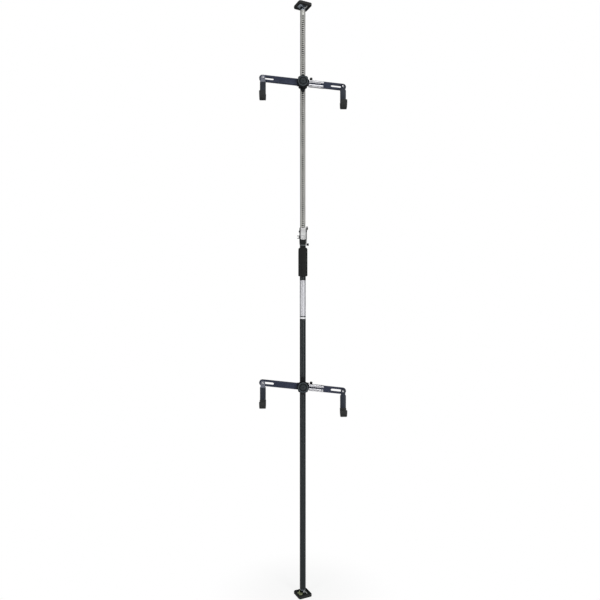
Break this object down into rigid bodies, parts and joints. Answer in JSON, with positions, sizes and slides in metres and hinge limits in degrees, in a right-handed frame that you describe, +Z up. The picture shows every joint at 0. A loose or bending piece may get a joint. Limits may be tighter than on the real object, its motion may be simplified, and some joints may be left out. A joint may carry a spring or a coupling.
{
  "type": "two tier bike rack",
  "caption": "Floor to ceiling telescopic pole with a jack lever, carrying two clamped, tilting, telescopic arms with rubber lined swinging hooks.",
  "frame": {"origin": "on the floor, at the centre of the floor pad's underside, below the pole's axis", "axes": "+Z up along the pole, X along the arms with the telescopic arm on +X, -Y towards the hooks and the jack lever"},
  "size_m": [0.4112, 0.1444, 2.832],
  "materials": {
    "galvanised_tube": "dull galvanised",
    "black_tube": "semi gloss black powder coat",
    "housing_cast": "satin cast",
    "arm_paint": "satin blue black powder coat",
    "hook_paint": "satin blue black powder coat",
    "black_steel": "satin black",
    "bright_steel": "polished",
    "zinc_steel": "bright zinc plated",
    "knob_plastic": "fine grained black",
    "grip_plastic": "matte black",
    "liner_plastic": "smooth black",
    "pad_rubber": "matte black",
    "hook_rubber": "matte black",
    "bracket_steel": "plain steel sheet"
  },
  "bodies": {
    "pole": {"lower_tube": "black_tube", "jack_housing": "housing_cast", "guide_bush": "liner_plastic", "tube_collar": "black_steel", "housing_screw": "zinc_steel", "lever_pin": "bright_steel", "pin_clip": "zinc_steel", "floor_tongue": "bracket_steel"},
    "floor_foot": {"floor_pad": "pad_rubber", "floor_bracket": "bracket_steel", "floor_pin": "bright_steel"},
    "upper_pole": {"upper_tube": "galvanised_tube", "ceiling_tongue": "bracket_steel"},
    "ceiling_foot": {"ceiling_pad": "pad_rubber", "ceiling_bracket": "bracket_steel", "ceiling_pin": "bright_steel"},
    "jack_lever": {"lever": "zinc_steel", "lever_grip": "grip_plastic"},
    "drive_pawl": {"drive_pawl": "black_steel"},
    "release": {"pawl_shaft": "bright_steel", "holding_pawl": "black_steel", "release_lever": "black_steel"},
    "upper_carriage": {"upper_liner": "liner_plastic"},
    "upper_clamp": {"upper_clamp_front": "black_steel", "upper_clamp_rear": "black_steel", "upper_clamp_screw_left": "zinc_steel", "upper_clamp_screw_right": "zinc_steel"},
    "upper_beam": {"upper_main_bar": "arm_paint"},
    "upper_extension": {"upper_right_arm": "arm_paint", "upper_slide_sleeve": "bright_steel"},
    "upper_knob": {"upper_knob": "knob_plastic", "upper_knob_bolt": "zinc_steel"},
    "upper_thumb_knob": {"upper_thumb_knob": "knob_plastic"},
    "upper_left_slider": {"upper_left_bolt": "bright_steel", "upper_left_nut": "zinc_steel"},
    "upper_left_hook": {"upper_left_hook": "hook_paint", "upper_left_rubber": "hook_rubber"},
    "upper_right_slider": {"upper_right_bolt": "bright_steel", "upper_right_nut": "zinc_steel"},
    "upper_right_hook": {"upper_right_hook": "hook_paint", "upper_right_rubber": "hook_rubber"},
    "lower_carriage": {"lower_liner": "liner_plastic"},
    "lower_clamp": {"lower_clamp_front": "black_steel", "lower_clamp_rear": "black_steel", "lower_clamp_screw_left": "zinc_steel", "lower_clamp_screw_right": "zinc_steel"},
    "lower_beam": {"lower_main_bar": "arm_paint"},
    "lower_extension": {"lower_right_arm": "arm_paint", "lower_slide_sleeve": "bright_steel"},
    "lower_knob": {"lower_knob": "knob_plastic", "lower_knob_bolt": "zinc_steel"},
    "lower_thumb_knob": {"lower_thumb_knob": "knob_plastic"},
    "lower_left_slider": {"lower_left_bolt": "bright_steel", "lower_left_nut": "zinc_steel"},
    "lower_left_hook": {"lower_left_hook": "hook_paint", "lower_left_rubber": "hook_rubber"},
    "lower_right_slider": {"lower_right_bolt": "bright_steel", "lower_right_nut": "zinc_steel"},
    "lower_right_hook": {"lower_right_hook": "hook_paint", "lower_right_rubber": "hook_rubber"}
  },
  "joints": [
    {"name": "pole_extend", "type": "slide", "parent": "pole", "child": "upper_pole", "axis": [0, 0, 1], "range_m": [-0.35, 0.2]},
    {"name": "floor_tilt", "type": "hinge", "parent": "pole", "child": "floor_foot", "pos_m": [0, 0, 0.02], "axis": [-0.4226, 0.9063, 0], "range_deg": [-15, 15]},
    {"name": "ceiling_tilt", "type": "hinge", "parent": "upper_pole", "child": "ceiling_foot", "pos_m": [0, 0, 2.812], "axis": [-0.4226, 0.9063, 0], "range_deg": [-15, 15]},
    {"name": "lever_swing", "type": "hinge", "parent": "pole", "child": "jack_lever", "pos_m": [0, -0.026, 1.7135], "axis": [-1, 0, 0], "range_deg": [0, 90]},
    {"name": "drive_pawl_turn", "type": "hinge", "parent": "jack_lever", "child": "drive_pawl", "pos_m": [0, -0.0175, 1.701], "axis": [-1, 0, 0], "range_deg": [0, 10], "stiffness_Nm_per_rad": 0.03},
    {"name": "release_turn", "type": "hinge", "parent": "pole", "child": "release", "pos_m": [0, -0.0175, 1.741], "axis": [-1, 0, 0], "range_deg": [-20, 10], "stiffness_Nm_per_rad": 0.2},
    {"name": "upper_height", "type": "slide", "parent": "upper_pole", "child": "upper_carriage", "axis": [0, 0, 1], "range_m": [-0.23, 0.3]},
    {"name": "upper_swivel", "type": "hinge", "parent": "upper_carriage", "child": "upper_clamp", "pos_m": [0, 0, 2.443], "axis": [0, 0, 1], "range_deg": [-30, 30]},
    {"name": "upper_arm_tilt", "type": "hinge", "parent": "upper_clamp", "child": "upper_beam", "pos_m": [0, -0.0355, 2.443], "axis": [0, 1, 0], "range_deg": [-20, 20]},
    {"name": "upper_knob_turn", "type": "hinge", "parent": "upper_clamp", "child": "upper_knob", "pos_m": [0, -0.053, 2.443], "axis": [0, 1, 0], "continuous": true},
    {"name": "upper_extend", "type": "slide", "parent": "upper_beam", "child": "upper_extension", "axis": [0.9945, 0, -0.1045], "range_m": [-0.008, 0.04]},
    {"name": "upper_thumb_turn", "type": "hinge", "parent": "upper_extension", "child": "upper_thumb_knob", "pos_m": [0.0386, -0.0355, 2.46106], "axis": [0.1045, 0, 0.9945], "continuous": true},
    {"name": "upper_left_slot", "type": "slide", "parent": "upper_beam", "child": "upper_left_slider", "axis": [0.9945, 0, -0.1045], "range_m": [-0.003, 0.046]},
    {"name": "upper_left_hook_swing", "type": "hinge", "parent": "upper_left_slider", "child": "upper_left_hook", "pos_m": [-0.18896, -0.0476, 2.46286], "axis": [0, 1, 0], "range_deg": [-45, 45]},
    {"name": "upper_right_slot", "type": "slide", "parent": "upper_extension", "child": "upper_right_slider", "axis": [0.9945, 0, -0.1045], "range_m": [-0.052, 0]},
    {"name": "upper_right_hook_swing", "type": "hinge", "parent": "upper_right_slider", "child": "upper_right_hook", "pos_m": [0.18896, -0.0476, 2.42314], "axis": [0, 1, 0], "range_deg": [-45, 45]},
    {"name": "lower_height", "type": "slide", "parent": "pole", "child": "lower_carriage", "axis": [0, 0, 1], "range_m": [-0.45, 0.42]},
    {"name": "lower_swivel", "type": "hinge", "parent": "lower_carriage", "child": "lower_clamp", "pos_m": [0, 0, 1.004], "axis": [0, 0, 1], "range_deg": [-30, 30]},
    {"name": "lower_arm_tilt", "type": "hinge", "parent": "lower_clamp", "child": "lower_beam", "pos_m": [0, -0.0355, 1.004], "axis": [0, 1, 0], "range_deg": [-20, 20]},
    {"name": "lower_knob_turn", "type": "hinge", "parent": "lower_clamp", "child": "lower_knob", "pos_m": [0, -0.053, 1.004], "axis": [0, 1, 0], "continuous": true},
    {"name": "lower_extend", "type": "slide", "parent": "lower_beam", "child": "lower_extension", "axis": [0.9945, 0, -0.1045], "range_m": [-0.008, 0.04]},
    {"name": "lower_thumb_turn", "type": "hinge", "parent": "lower_extension", "child": "lower_thumb_knob", "pos_m": [0.0386, -0.0355, 1.02206], "axis": [0.1045, 0, 0.9945], "continuous": true},
    {"name": "lower_left_slot", "type": "slide", "parent": "lower_beam", "child": "lower_left_slider", "axis": [0.9945, 0, -0.1045], "range_m": [-0.003, 0.046]},
    {"name": "lower_left_hook_swing", "type": "hinge", "parent": "lower_left_slider", "child": "lower_left_hook", "pos_m": [-0.18896, -0.0476, 1.02386], "axis": [0, 1, 0], "range_deg": [-45, 45]},
    {"name": "lower_right_slot", "type": "slide", "parent": "lower_extension", "child": "lower_right_slider", "axis": [0.9945, 0, -0.1045], "range_m": [-0.052, 0]},
    {"name": "lower_right_hook_swing", "type": "hinge", "parent": "lower_right_slider", "child": "lower_right_hook", "pos_m": [0.18896, -0.0476, 0.98414], "axis": [0, 1, 0], "range_deg": [-45, 45]}
  ]
}
